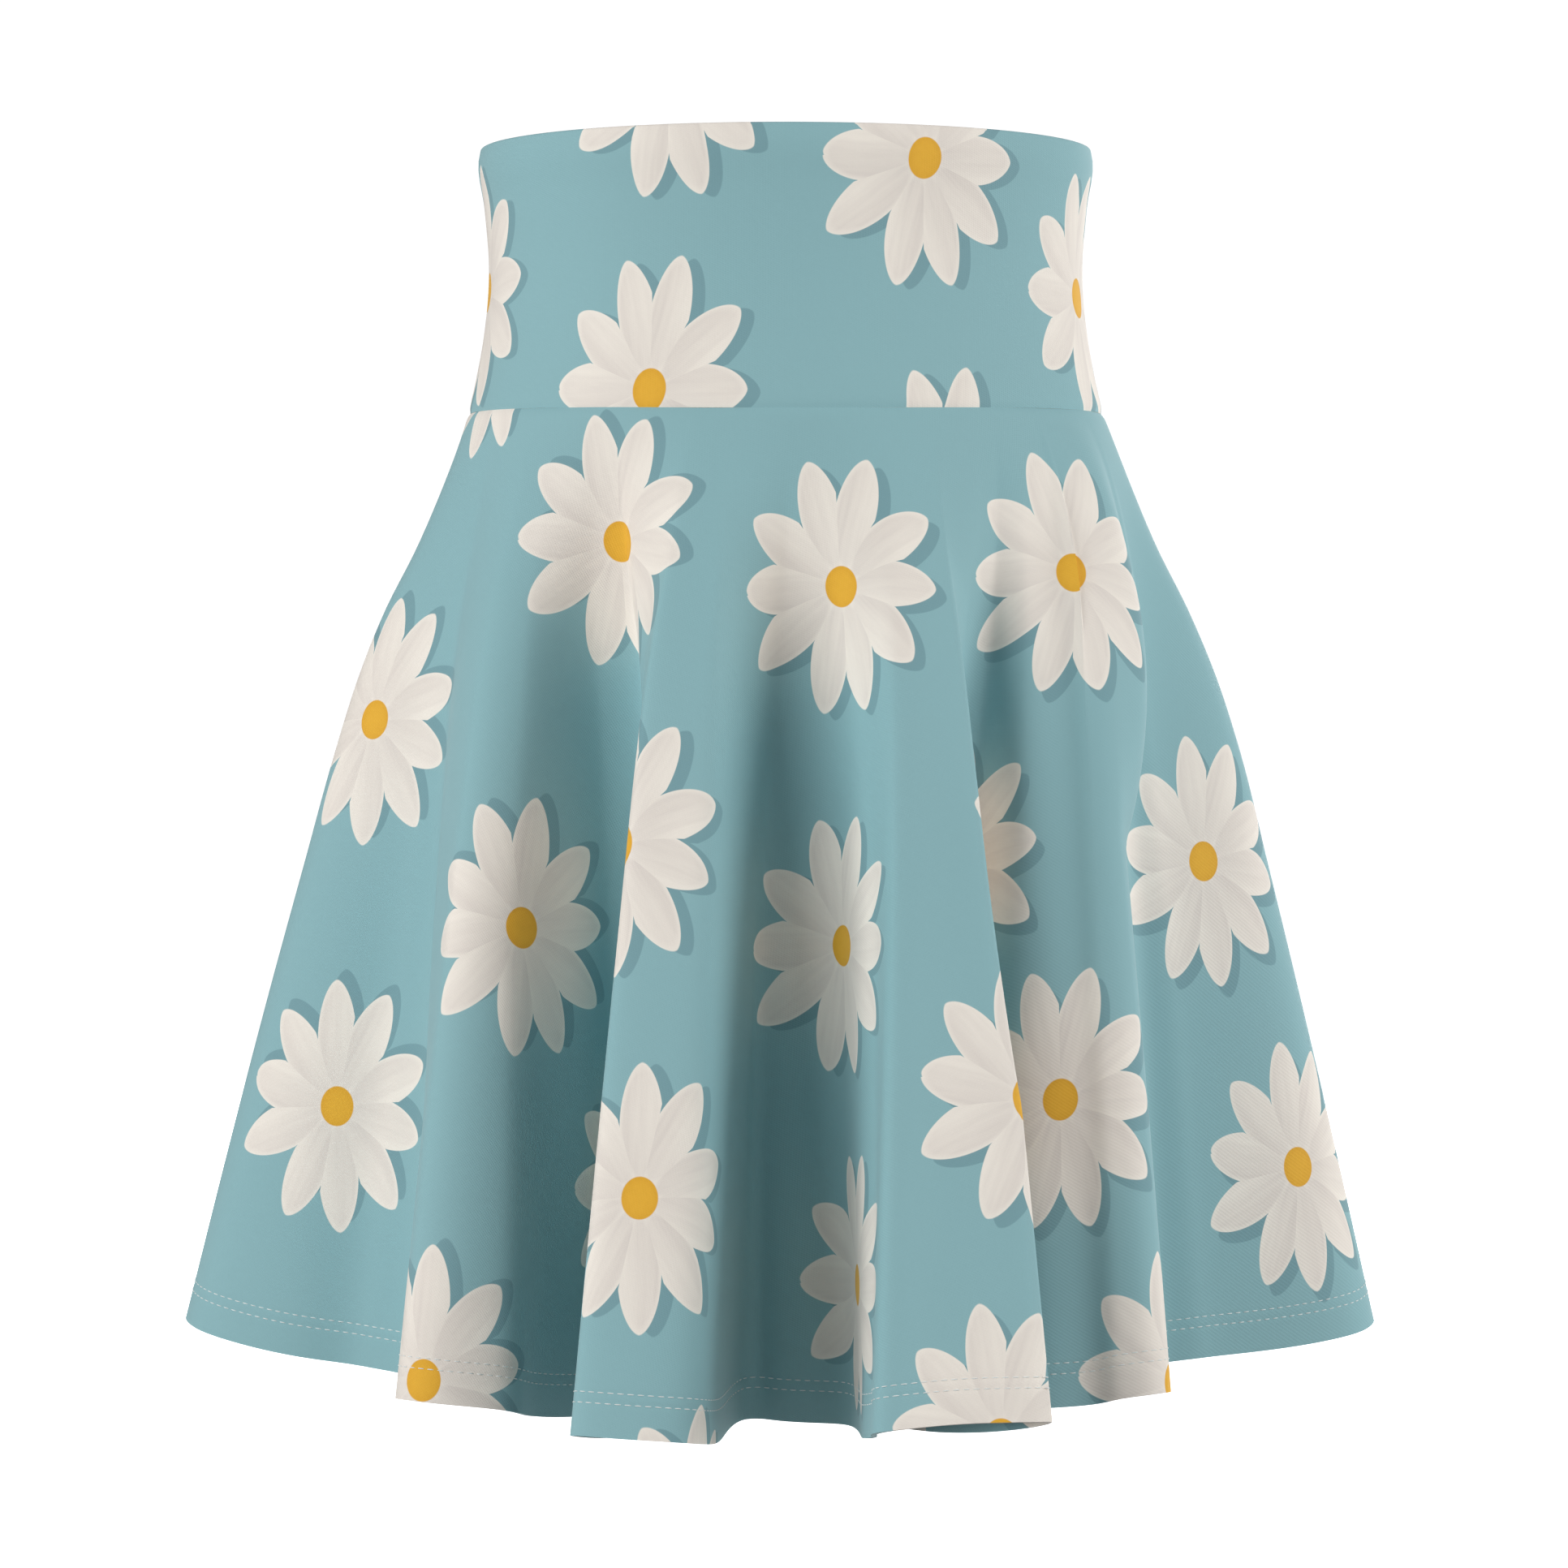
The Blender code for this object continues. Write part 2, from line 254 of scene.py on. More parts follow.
# the print is one daisy, strewn in a stepped repeat
daisyPrint = {
    "ground": (0.262, 0.468, 0.503),
    "groundDark": 0.965,          # share of the ground's colour in its darker clouds
    "shadowGround": (0.190, 0.352, 0.390),
    "petalLight": (0.900, 0.842, 0.762),
    "petalShade": (0.735, 0.672, 0.618),
    "petalVein": (0.600, 0.540, 0.520),
    "disc": (0.820, 0.445, 0.036),
    "discEdge": (0.700, 0.345, 0.022),
    "reverse": (0.780, 0.820, 0.820),
    "petalReach": 47.0 * mm,
    "petalHalfWidth": 8.7 * mm,
    "petalMiddle": 0.56,          # as shares of the petal's own reach
    "petalHalfLength": 0.455,
    "petalPoint": 1.65,           # 2 gives round petals, less gives pointed ones
    "discRadius": 7.3 * mm,
    "coreRadius": 2.3,            # the petals join within this many disc radii
    "shadowShift": 5.6 * mm,
    "shadowAngle": -12.0,
    "petalSharpness": 20.0,       # how crisp each edge of the print is
    "coreSharpness": 900.0,
    "discSharpness": 2600.0,
    "discGrain": 420.0,
    "discFalloff": 3.0,           # how late the disc darkens towards its edge
    "cloudScale": 22.0,
    "cloudDepth": 0.5,
    "hangStretch": 1.16,          # the print is drawn out this much down the panel
    "seamRadius": 0.1226,         # of the flat panel that the print is laid on
    "flatLength": 0.342,
}

# each petal of the daisy: its angle and its length as a share of the longest
petals = [
    (-147, 1.0), (-104, 0.96), (-72, 0.97), (-37, 0.97), (0, 0.87),
    (37, 0.95), (76, 0.98), (107, 0.97), (144, 0.94), (178, 0.91),
]

# daisies on the front panel: cut angle, mm below the waist seam, turn, lie of the print
frontDaisies = [
    (-71.5, -32, 14, 60), (-34, 55.6, -5, 31), (9.3, 73.8, -2, -16), (52.5, 72.2, -7, -44),
    (-75.2, 138.3, -8, 54), (-47.3, 218.7, 9, 39), (-19.0, 186.1, -11, 7), (8.0, 220.3, -1, -9),
    (39.7, 190, 12, -30), (76.7, 196.9, -18, -44), (-71.9, 302, -6, 65), (-35.2, 323, -3, 35),
    (-15.0, 327, -14, 10), (9.7, 357.6, -1, -10), (29.3, 293.5, -16, -26), (50.3, 290.8, -2, -36),
    (80.2, 334, -20, -48), (-51.8, 405.5, 15, 40), (-11.1, 459, -20, 8), (25.9, 427, -10, -25),
    (56.6, 410, -12, -45), (40.6, 404, 20, -36),
]

# daisies on the waistband front: angle, height in mm, turn, lie of the print
bandDaisies = [
    (-84, -8.6, 6, 4), (-27, -53.2, 0, 0), (28.2, 39.6, 0, -2), (77, -12.1, 0, 0),
    (31.8, -97, 0, 0), (-24, 75.5, 0, 0),
]

# the stepped repeat of the back in mm and degrees, laid out in the flat half circle
backRepeat = {
    "across": 118.0, "down": 118.5, "right": 14.0, "below": 52.0, "seamRadius": 113.0,
    "highest": -30.0, "lowest": 450.0, "widest": 96.0, "pastSides": 20.0,
    "turn": 36.0, "smallTurn": 5.0,
}

# the same print round the back of the waistband, in degrees across and mm down
bandRepeat = {
    "across": 54.0, "right": 8.0, "down": 137.0, "step": 46.0, "below": 18.0,
    "lowest": -110.0, "highest": 100.0, "widest": 98.0,
}


def backDaisies():
    # columns one step apart, each a third of the repeat lower than the last
    repeat = backRepeat
    places = []
    for column in range(-4, 5):
        for row in range(-5, 6):
            x = column * repeat["across"] + repeat["right"]
            y = -(row * repeat["down"] + column * repeat["down"] / 3.0 + repeat["below"])
            angle = math.degrees(math.atan2(x, -y))
            below = (math.hypot(x, y) - repeat["seamRadius"]) * daisyPrint["hangStretch"]
            onPanel = repeat["highest"] < below < repeat["lowest"] and y < repeat["pastSides"]
            if onPanel and abs(angle) < repeat["widest"]:
                turn = repeat["turn"] * ((3 * column + 7 * row) % 10)
                turn += repeat["smallTurn"] * ((column + 2 * row) % 5)
                places.append((180.0 + angle, below, turn, -angle))
    return places


def bandBackDaisies():
    repeat = bandRepeat
    places = []
    for column in range(-3, 4):
        for row in range(-1, 2):
            angle = column * repeat["across"] + repeat["right"]
            height = row * repeat["down"] - column * repeat["step"] - repeat["below"]
            onBand = repeat["lowest"] < height < repeat["highest"]
            if onBand and abs(angle) < repeat["widest"]:
                turn = backRepeat["turn"] * ((column + 3 * row) % 10)
                places.append((180.0 + angle, height, turn, 0.0))
    return places


def daisyCoordinates(arc, fromCentre, radius):
    # flat place beside a daisy's centre, its y up the panel, on cloth cut round this radius
    reach = radius + fromCentre
    return reach * np.sin(arc / reach), radius - reach * np.cos(arc / reach)


def printMaps(mesh, faces, places):
    # each face takes the coordinates of the daisy nearest to it
    # places: an x and a y grid for each daisy, with its turn and lie
    stack = np.array([[x.ravel(), y.ravel()] for x, y, turn, lie in places])
    middle = stack[:, :, faces].mean(axis=-1)
    nearest = np.hypot(middle[:, 0], middle[:, 1]).argmin(axis=0)
    x = stack[nearest[:, None], 0, faces]
    y = stack[nearest[:, None], 1, faces]
    turn = np.radians([place[2] for place in places])[nearest][:, None]
    lie = np.array([place[3] for place in places])[nearest][:, None]
    light = np.radians(daisyPrint["shadowAngle"] + lie)
    for name, shift in (("daisy", 0.0), ("daisyShadow", daisyPrint["shadowShift"])):
        px = x - shift * np.cos(light)
        py = y - shift * np.sin(light)
        flat = np.stack([px * np.cos(turn) + py * np.sin(turn),
                         py * np.cos(turn) - px * np.sin(turn)], axis=-1)
        layer = mesh.uv_layers.new(name=name)
        layer.data.foreach_set("uv", flat.reshape(-1).astype(np.float32))


def gridFaces(rows, columns):
    i, j = np.meshgrid(np.arange(rows - 1), np.arange(columns - 1), indexing="ij")
    corner = (i * columns + j).ravel()
    return np.stack([corner, corner + columns, corner + columns + 1, corner + 1], axis=-1)


def clothMesh(name, grid, clothU, clothV, places):
    # a sheet of cloth from a grid of points; clothU and clothV are metres along and up it
    faces = gridFaces(*grid.shape[:2])
    mesh = bpy.data.meshes.new(name)
    mesh.from_pydata(grid.reshape(-1, 3).tolist(), [], faces.tolist())
    knit = mesh.uv_layers.new(name="knit")
    flat = np.stack([clothU.ravel()[faces], clothV.ravel()[faces]], axis=-1)
    knit.data.foreach_set("uv", flat.reshape(-1).astype(np.float32))
    printMaps(mesh, faces, places)
    mesh.update()
    piece = bpy.data.objects.new(name, mesh)
    bpy.context.collection.objects.link(piece)
    return piece


def facesOutward(piece):
    # the outer side faces away from the middle of the body
    mesh = piece.data
    centres = np.array([(face.center.x, face.center.y) for face in mesh.polygons])
    normals = np.array([(face.normal.x, face.normal.y) for face in mesh.polygons])
    if (centres * normals).sum() < 0:
        mesh.flip_normals()


def applyModifiers(piece):
    bpy.ops.object.select_all(action="DESELECT")
    bpy.context.view_layer.objects.active = piece
    piece.select_set(True)
    for modifier in list(piece.modifiers):
        bpy.ops.object.modifier_apply(modifier=modifier.name)
    bpy.ops.object.shade_smooth_by_angle(angle=math.radians(form["smoothBelow"]))
    piece.select_set(False)


# the skirt panels
skirtLook = {
    "columns": 520,               # over half the hem
    "innerEdge": 89.0,
    "besideSeam": (0.0, 0.07, 0.16, 0.3, 0.5, 0.8),  # degrees from a side seam
    "rows": 58,
    "hemRows": (18.6, 18.0, 17.4, 15.0, 12.5, 8.0, 4.0, 1.2, 0.0),  # mm above the hem's edge
    "hemTurn": 18.0 * mm,         # width of the turned-up hem
    "frontFlat": (0.934, 0.467),
    "flatArea": 0.3225,
    "bumpShape": 0.8,             # below 1 a soft fold stays full for longer
}

# soft folds besides the main ones, on the front and then on the back: cut angle where each
# starts and ends, mm below the seam of both, half width, shift to the right and to the front
softFolds = [
    (-69, -68, 130, 700, 24, 0, -7), (-61, -61, 10, 340, 24, -5, 3), (-48, -48, 230, 700, 20, 7, 0),
    (-41, -41, 100, 480, 22, 9, 0), (-29.5, -29.5, 0, 200, 14, -3.5, 0),
    (3.5, 4.5, 170, 560, 16, -9, 0), (6, 8, 80, 620, 15, 0, -8), (16, 16, 60, 600, 24, 6, -8),
    (24, 24, 60, 700, 30, -1, -12), (28, 28, 20, 295, 16, -5, 0), (38.5, 38, 60, 560, 15, -4, -11),
    (49, 49, 200, 800, 28, 0, 7), (64, 63, 5, 185, 26, 15, 9),
    (112, 108, 30, 420, 16, 2, 3), (150, 154, 60, 600, 14, 0, -4),
    (198, 195, 20, 350, 18, -4, -3), (243, 247, 80, 640, 15, 3, 4),
]


def skirtRows(lengths):
    # distances below the seam: close together at the seam and over the hem
    top = np.array(sewn["rows"]) * mm
    turn = np.array(skirtLook["hemRows"]) * mm
    share = np.linspace(0.0, 1.0, skirtLook["rows"] + 2)[1:-1]
    between = top[-1] + share[:, None] * (lengths - turn[0] - top[-1])
    return np.vstack([np.repeat(top[:, None], len(lengths), 1), between,
                      lengths - turn[:, None]])


def softened(grid, angles, below):
    step = np.linalg.norm(np.gradient(grid, axis=1), axis=-1) / np.gradient(angles)
    moved = np.zeros(grid.shape)
    for top, end, start, stop, width, right, front in softFolds:
        share = np.clip((below - start * mm) / ((stop - start) * mm), 0.0, 1.0)
        across = (angles - top - (end - top) * share) * step
        bump = mm * np.sin(math.pi * share) ** skirtLook["bumpShape"]
        bump = bump * np.exp(-((across / (width * mm)) ** 2))
        moved[:, :, 0] += right * bump
        moved[:, :, 1] -= front * bump
    return grid + moved


def hangCloth(angles, below):
    return softened(skirtSurface(wrapAngles(angles), below), angles, below)


def columnLengths(angles):
    return form["panelLength"] + hemAt(wrapAngles(angles))[:, 2]


def buildSkirt(name, front):
    angles = halfAngles(skirtLook, front)
    lengths = columnLengths(angles)
    below = skirtRows(lengths)
    grid = hangCloth(angles, below)
    arcs = rowArcs(grid, angles, angles.mean())
    grid = grid - outwardNormals(grid) * seamRoll(below, arcs)
    places = []
    for angle, distance, turn, lie in (frontDaisies if front else backDaisies()):
        flatDown = daisyPrint["flatLength"] * distance * mm / form["panelLength"]
        radius = daisyPrint["seamRadius"] + flatDown
        fromCentre = (below - distance * mm) / daisyPrint["hangStretch"]
        x, y = daisyCoordinates(rowArcs(grid, angles, angle), fromCentre, radius)
        places.append((x, y, turn, lie))
    piece = clothMesh(name, grid, arcs, lengths - below, places)
    piece["outerFaces"] = len(piece.data.polygons)
    facesOutward(piece)
    # the wall is thicker where the hem is turned up
    group = piece.vertex_groups.new(name="hemTurn")
    turned = np.nonzero((lengths - below).ravel() <= skirtLook["hemTurn"] + 0.1 * mm)[0]
    group.add(turned.tolist(), 1.0, "REPLACE")
    solid = piece.modifiers.new("wall", "SOLIDIFY")
    solid.thickness = form["hemWall"]
    solid.offset = -1.0
    solid.vertex_group = group.name
    solid.thickness_vertex_group = form["skirtWall"] / form["hemWall"]
    applyModifiers(piece)
    piece.vertex_groups.clear()
    print(name, len(piece.data.polygons), "faces")
    return piece


skirtFront = buildSkirt("skirtFrontPanel", True)
skirtBack = buildSkirt("skirtBackPanel", False)

# the waistband
bandLook = {
    "columns": 220,
    "innerEdge": 88.0,
    "besideSeam": (0.0, 0.2, 0.45, 0.8, 1.3),  # degrees from a side seam
    "rows": 26,
    "rowsFrom": 9.0 * mm,         # above the waist seam
    "topRound": 1.0 * mm,
    "foldSteps": 8,
    "foldArc": 3.1 * mm,          # length of cloth over the folded edge
    "knitStart": 0.5,             # keeps its knit clear of the hem's stitched rows
    "flat": (0.360, 0.115),
}


def closeBandEdges(piece, rows, columns):
    # the sewn edges are closed along the bottom and at both ends
    mesh = bmesh.new()
    mesh.from_mesh(piece.data)
    mesh.verts.ensure_lookup_table()
    last = (rows - 1) * columns
    rings = [(j, j + 1, last + j + 1, last + j) for j in range(columns - 1)]
    for j in (0, columns - 1):
        for i in range(rows // 2):
            outer = (i * columns + j, (i + 1) * columns + j)
            inner = ((rows - 2 - i) * columns + j, (rows - 1 - i) * columns + j)
            rings.append(tuple(dict.fromkeys(outer + inner)))
    for ring in rings:
        if len(ring) >= 3:
            mesh.faces.new([mesh.verts[k] for k in ring])
    bmesh.ops.recalc_face_normals(mesh, faces=mesh.faces)
    mesh.to_mesh(piece.data)
    mesh.free()


def buildBand(name, front):
    # outer face from the seam up, over the folded edge, and down the inside
    angles = halfAngles(bandLook, front)
    low, high = form["seamHeight"], bandOvals[0][0] * mm - bandLook["topRound"]
    close = np.array(sewn["rows"]) * mm
    heights = np.concatenate([
        low + close, np.linspace(low + bandLook["rowsFrom"], high, bandLook["rows"])])
    outer = bandSurface(wrapAngles(angles), heights)
    normals = outwardNormals(outer)
    fromSeam = np.repeat((heights - low)[:, None], len(angles), 1)
    outer = outer - normals * seamRoll(fromSeam, rowArcs(outer, angles, angles.mean()))
    inner = outer - normals * form["bandWall"]
    inner[:, :, 2] = outer[:, :, 2]
    # the fold makes half a turn from the outer to the inner face
    middle = (outer[-1] + inner[-1]) / 2.0
    side = (outer[-1] - inner[-1]) / 2.0
    rise = np.array([0, 0, bandLook["topRound"]])
    bends = [middle + side * math.cos(turn) + rise * math.sin(turn)
             for turn in np.linspace(0.0, math.pi, bandLook["foldSteps"])[1:-1]]
    grid = np.concatenate([outer, np.array(bends), inner[::-1]])
    levels = np.concatenate([heights, np.full(len(bends), high + bandLook["topRound"]),
                             2 * high + bandLook["foldArc"] - heights[::-1]])
    up = np.repeat(levels[:, None], len(angles), 1)
    places = []
    for angle, height, turn, lie in (bandDaisies if front else bandBackDaisies()):
        x = rowArcs(grid, angles, angle)
        y = (up - height * mm) / daisyPrint["hangStretch"]
        places.append((x, y, turn, lie))
    arcs = rowArcs(grid, angles, angles.mean())
    piece = clothMesh(name, grid, arcs, up + bandLook["knitStart"], places)
    closeBandEdges(piece, *grid.shape[:2])
    applyModifiers(piece)
    print(name, len(piece.data.polygons), "faces")
    return piece


bandFront = buildBand("waistbandFront", True)
bandBack = buildBand("waistbandBack", False)

# twin-needle stitches along the hem
stitchLook = {
    "rowsAboveHem": (13.2 * mm, 17.4 * mm),
    "columns": 4200,
    "edgeAngle": 89.9,            # where the rows start and end on each panel
    "firstAt": 1.5 * mm,          # from there
    "endGap": 2.0 * mm,           # left free at both ends together
    "length": 2.8 * mm,
    "pitch": 4.0 * mm,
    "radius": 0.24 * mm,
    "proud": 0.24 * mm,
    "sunk": 0.12 * mm,            # at both ends of a stitch
    "colour": (0.840, 0.880, 0.865),
    "colourDark": 0.82,           # share of the colour between the twists
    "twistScale": 2600.0,
    "roughness": 0.62, "sheen": 0.2,
    "bumpStrength": 0.3, "bumpDepth": 0.0001,
    "beside": 1.0 * mm,           # how far off a row the cloth's slope is taken
    "ahead": 0.2 * mm,            # how far along it the row's heading is taken
}


def oneStitch():
    # a small capsule, its length along z from -1 to 1
    bpy.ops.object.select_all(action="DESELECT")
    bpy.ops.mesh.primitive_uv_sphere_add(segments=6, ring_count=6, radius=1.0, location=(0, 0, 0))
    model = bpy.context.active_object
    points = np.array([v.co[:] for v in model.data.vertices])
    faces = [list(face.vertices) for face in model.data.polygons]
    bpy.data.objects.remove(model)
    return points, faces


def stitchLine(angles, aboveHem, side):
    # the line that one row is sewn along, with its normals; side is -1 on the inside
    beside = stitchLook["beside"]
    above = np.array([aboveHem + beside, aboveHem, aboveHem - beside])
    grid = hangCloth(angles, columnLengths(angles) - above[:, None])
    line, normals = grid[1], outwardNormals(grid)[1]
    arc = arcAlong(line, 3)
    if side < 0:
        line, normals = line - normals * form["hemWall"], -normals
    return arc, line, normals


def unitLength(vectors):
    return vectors / np.maximum(np.linalg.norm(vectors, axis=-1, keepdims=True), 1e-9)


def buildStitches(name, front):
    points, faces = oneStitch()
    look = stitchLook
    angles = np.linspace(-look["edgeAngle"], look["edgeAngle"], look["columns"])
    angles = angles + (0.0 if front else 180.0)
    allPoints, allFaces = [], []
    for aboveHem in look["rowsAboveHem"]:
        for side in (1, -1):
            arc, line, normals = stitchLine(angles, aboveHem, side)

            def along(at, values):
                return np.stack([np.interp(at, arc, values[:, k]) for k in range(3)], axis=-1)

            count = int((arc[-1] - look["endGap"]) / look["pitch"])
            starts = look["firstAt"] + np.arange(count) * look["pitch"]
            at = starts[:, None] + (points[:, 2] + 1.0) / 2.0 * look["length"]
            centre = along(at, line)
            normal = unitLength(along(at, normals))
            ahead = unitLength(along(at + look["ahead"], line) - centre)
            across = np.cross(normal, ahead)
            lift = look["proud"] * (1.0 - points[:, 2] ** 4) - look["sunk"]
            placed = (centre + normal * (lift + points[:, 1] * look["radius"])[:, None]
                      + across * (points[:, 0] * look["radius"])[:, None])
            for stitch in placed:
                base = len(allPoints)
                allPoints.extend(stitch.tolist())
                allFaces.extend([[base + k for k in face] for face in faces])
    mesh = bpy.data.meshes.new(name)
    mesh.from_pydata(allPoints, [], allFaces)
    mesh.shade_smooth()
    piece = bpy.data.objects.new(name, mesh)
    bpy.context.collection.objects.link(piece)
    print(name, len(allFaces), "faces")
    return piece


stitchesFront = buildStitches("hemStitchesFront", True)
stitchesBack = buildStitches("hemStitchesBack", False)


class Wire:
    # a socket whose arithmetic adds Math nodes
    def __init__(self, tree, socket):
        self.tree = tree
        self.socket = socket

    def add(self, kind, settings=None, inputs=None, output=0):
        node = self.tree.nodes.new(kind)
        for key, value in (settings or {}).items():
            if key == "stops":
                ramp = node.color_ramp
                while len(ramp.elements) < len(value):
                    ramp.elements.new(0.5)
                for element, (place, colour) in zip(ramp.elements, value):
                    element.position = place
                    element.color = (*colour, 1.0)
            elif key == "interpolation":
                node.color_ramp.interpolation = value
            else:
                setattr(node, key, value)
        for key, value in (inputs or {}).items():
            socket = node.inputs[key]
            if isinstance(value, Wire):
                self.tree.links.new(value.socket, socket)
            else:
                socket.default_value = value
        return Wire(self.tree, node.outputs[output])

    def outputs(self, count):
        return [Wire(self.tree, self.socket.node.outputs[k]) for k in range(count)]

    def maths(self, operation, a, b=None, clamp=False):
        inputs = {0: a} if b is None else {0: a, 1: b}
        return self.add("ShaderNodeMath", {"operation": operation, "use_clamp": clamp}, inputs)

    def __add__(self, other):
        return self.maths("ADD", self, other)

    def __radd__(self, other):
        return self.maths("ADD", other, self)

    def __sub__(self, other):
        return self.maths("SUBTRACT", self, other)

    def __rsub__(self, other):
        return self.maths("SUBTRACT", other, self)

    def __mul__(self, other):
        return self.maths("MULTIPLY", self, other)

    def __rmul__(self, other):
        return self.maths("MULTIPLY", other, self)

    def __truediv__(self, other):
        return self.maths("DIVIDE", self, other)

    def __rtruediv__(self, other):
        return self.maths("DIVIDE", other, self)

    def __pow__(self, other):
        return self.maths("POWER", self, other)

    def __rpow__(self, other):
        return self.maths("POWER", other, self)

    def clamped(self):
        return self.maths("ADD", self, 0.0, clamp=True)


def newMaterial(name, roughness):
    material = bpy.data.materials.new(name)
    material.use_nodes = True
    shader = material.node_tree.nodes["Principled BSDF"]
    shader.inputs["Roughness"].default_value = roughness
    return material, shader, Wire(material.node_tree, None)


def mixColour(start, factor, a, b):
    a = a if isinstance(a, Wire) else (*a, 1.0)
    b = b if isinstance(b, Wire) else (*b, 1.0)
    return start.add("ShaderNodeMix", {"data_type": "RGBA"}, {0: factor, 6: a, 7: b}, 2)


def noise(start, place, scale, detail):
    return start.add("ShaderNodeTexNoise", {}, {"Vector": place, "Scale": scale, "Detail": detail})


def darker(colour, share):
    return tuple(channel * share for channel in colour)


def petalStops():
    # for each sector of the turn, its petal's angle, length and a number for its brush strokes
    lastAngle, lastLength = petals[-1]
    # the last petal lies on both sides of the start of the turn
    stops = [(0.0, ((lastAngle - 180.0) / 360.0, lastLength, 0.3))]
    before = lastAngle - 360.0
    for k, (angle, length) in enumerate(petals):
        edge = (before + angle) / 2.0
        kind = (k * 37 % 10) / 10.0
        stops.append(((edge + 180.0) / 360.0, ((angle + 180.0) / 360.0, length, kind)))
        before = angle
    return stops


def daisyParts(start, mapName):
    # the daisy round this map's origin: its petal mask and petal coordinates
    look = daisyPrint
    place = start.add("ShaderNodeUVMap", {"uv_map": mapName})
    x, y = start.add("ShaderNodeSeparateXYZ", {}, {0: place}).outputs(2)
    reach = start.maths("SQRT", x * x + y * y)
    turn = start.maths("ARCTAN2", y, x) / fullTurn + 0.5
    ramp = start.add("ShaderNodeValToRGB", {"stops": petalStops(), "interpolation": "CONSTANT"},
                     {0: turn})
    centre, length, kind = start.add("ShaderNodeSeparateColor", {}, {0: ramp}).outputs(3)
    swing = (turn - centre) * fullTurn
    along = reach * start.maths("COSINE", swing)
    across = reach * start.maths("SINE", swing)
    size = length * look["petalReach"]
    far = (along - size * look["petalMiddle"]) / (size * look["petalHalfLength"])
    wide = start.maths("ABSOLUTE", across / look["petalHalfWidth"])
    inside = 1.0 - far * far - wide ** look["petalPoint"]
    core = (look["discRadius"] * look["coreRadius"] - reach) * look["coreSharpness"]
    petal = start.maths("MAXIMUM", inside * look["petalSharpness"] + 0.5, core).clamped()
    return {"petal": petal, "reach": reach, "along": along, "across": across, "inside": inside,
            "kind": kind, "size": size, "place": place}


# the knit's relief, its pitches in metres, and its finish
knitLook = {
    "ribPitch": 0.0011, "loopPitch": 0.0009, "loopSlant": 0.0022,
    "ribHeight": 0.35, "loopHeight": 0.35, "fuzzHeight": 1.2, "fuzzScale": 900.0,
    "rowPull": 4.0, "rowWidth": 0.0011,  # how the stitched rows are pulled in
    "bumpStrength": 0.35, "bumpDepth": 0.00012,
    "roughness": 0.78, "specular": 0.32, "sheen": 0.18, "sheenRoughness": 0.45,
}


def knitRelief(start, cloth):
    # fine ribs of a double knit, with the pull of the hem's stitches
    look = knitLook
    u, v = start.add("ShaderNodeSeparateXYZ", {}, {0: cloth}).outputs(2)
    ribs = start.maths("SINE", u * (fullTurn / look["ribPitch"]))
    slant = u * (fullTurn / look["loopSlant"])
    loops = start.maths("SINE", v * (fullTurn / look["loopPitch"]) + slant)
    fuzz = noise(start, cloth, look["fuzzScale"], 2.0)
    height = ribs * look["ribHeight"] + loops * look["loopHeight"] + fuzz * look["fuzzHeight"]
    gaps = [(v - row) / look["rowWidth"] for row in stitchLook["rowsAboveHem"]]
    pulls = sum(start.maths("EXPONENT", gap * gap * -1.0) for gap in gaps)
    return height - pulls * look["rowPull"]


# how a petal is painted: where each tone starts, its slope, and how much it shades
petalPaint = {
    "strokesAlong": 26.0, "strokesAcross": 330.0, "strokesChange": 7.0, "strokeShade": 0.8,
    "innerSlope": 1.25, "innerShade": 0.42,
    "sideStart": 0.45, "sideSlope": 0.6, "sideShade": 0.58,
    "tipStart": 0.62, "tipSlope": 2.4, "tipShade": 0.24,
    "veinStart": 0.54, "veinSlope": 4.0, "veinShade": 0.22,
    "rimSlope": 3.2,
}


def petalColour(start, daisy):
    # a light rim, a shaded side and tip, brush strokes along it and darker near the disc
    look, paint = daisyPrint, petalPaint
    along, across, size = daisy["along"], daisy["across"], daisy["size"]
    brush = start.add("ShaderNodeCombineXYZ", {}, {
        0: along * paint["strokesAlong"], 1: across * paint["strokesAcross"],
        2: daisy["kind"] * paint["strokesChange"]})
    strokes = noise(start, brush, 1.0, 3.0)
    inner = (1.0 - along / size * paint["innerSlope"]).clamped()
    side = (across / look["petalHalfWidth"] * paint["sideSlope"] + paint["sideStart"]).clamped()
    tip = ((along / size - paint["tipStart"]) * paint["tipSlope"]).clamped()
    rim = (daisy["inside"] * paint["rimSlope"]).clamped()
    shade = (side * paint["sideShade"] + inner * paint["innerShade"] + tip * paint["tipShade"]
             + (strokes - 0.5) * paint["strokeShade"]) * rim
    petal = mixColour(start, shade.clamped(), look["petalLight"], look["petalShade"])
    veins = ((strokes - paint["veinStart"]) * paint["veinSlope"]).clamped() * inner
    return mixColour(start, veins * paint["veinShade"], petal, look["petalVein"])


def discColour(start, daisy):
    # grainy, and darker towards its edge
    outer = (daisy["reach"] / daisyPrint["discRadius"]) ** daisyPrint["discFalloff"]
    grain = noise(start, daisy["place"], daisyPrint["discGrain"], 2.0)
    shade = (outer * 0.5 + (grain - 0.5) * 0.5).clamped()
    return mixColour(start, shade, daisyPrint["disc"], daisyPrint["discEdge"])


